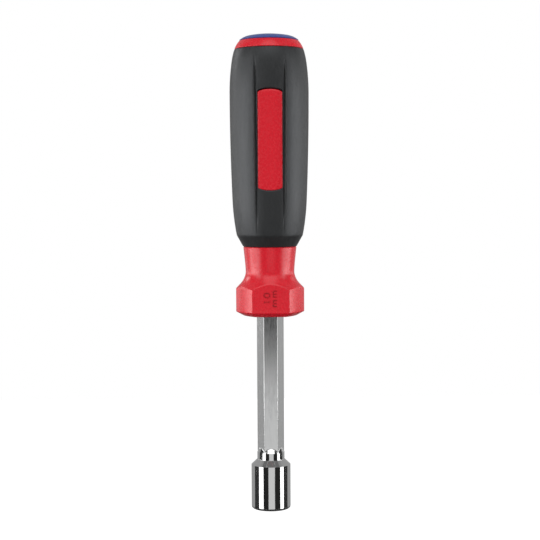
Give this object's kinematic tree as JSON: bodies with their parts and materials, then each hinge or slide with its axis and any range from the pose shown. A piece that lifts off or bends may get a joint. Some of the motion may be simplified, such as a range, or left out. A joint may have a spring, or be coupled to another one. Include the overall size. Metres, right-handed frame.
{
  "type": "nut driver",
  "caption": "Hand nut driver with a hollow chromed hex shank and magnetic socket, a six-sided bolster, a soft tri-lobe grip with let-in panels and a domed end cap.",
  "frame": {"origin": "centre of the socket's mouth, on the plane of its end face", "axes": "+Z along the tool's axis from the mouth to the end cap, -Y towards the front panel"},
  "size_m": [0.0302, 0.0294, 0.183],
  "materials": {
    "shank_chrome": "polished chrome plate over ground steel",
    "magnet_nickel": "satin nickel plate",
    "core_red": "moulded red plastic with a soft gloss",
    "grip_black": "matt fine-grained soft overmould",
    "cap_blue": "moulded blue plastic with a soft gloss"
  },
  "bodies": {
    "root": {"socket_shaft": "shank_chrome", "ring_magnet": "magnet_nickel", "handle_core": "core_red", "grip_sleeve": "grip_black", "end_cap": "cap_blue"}
  },
  "joints": []
}
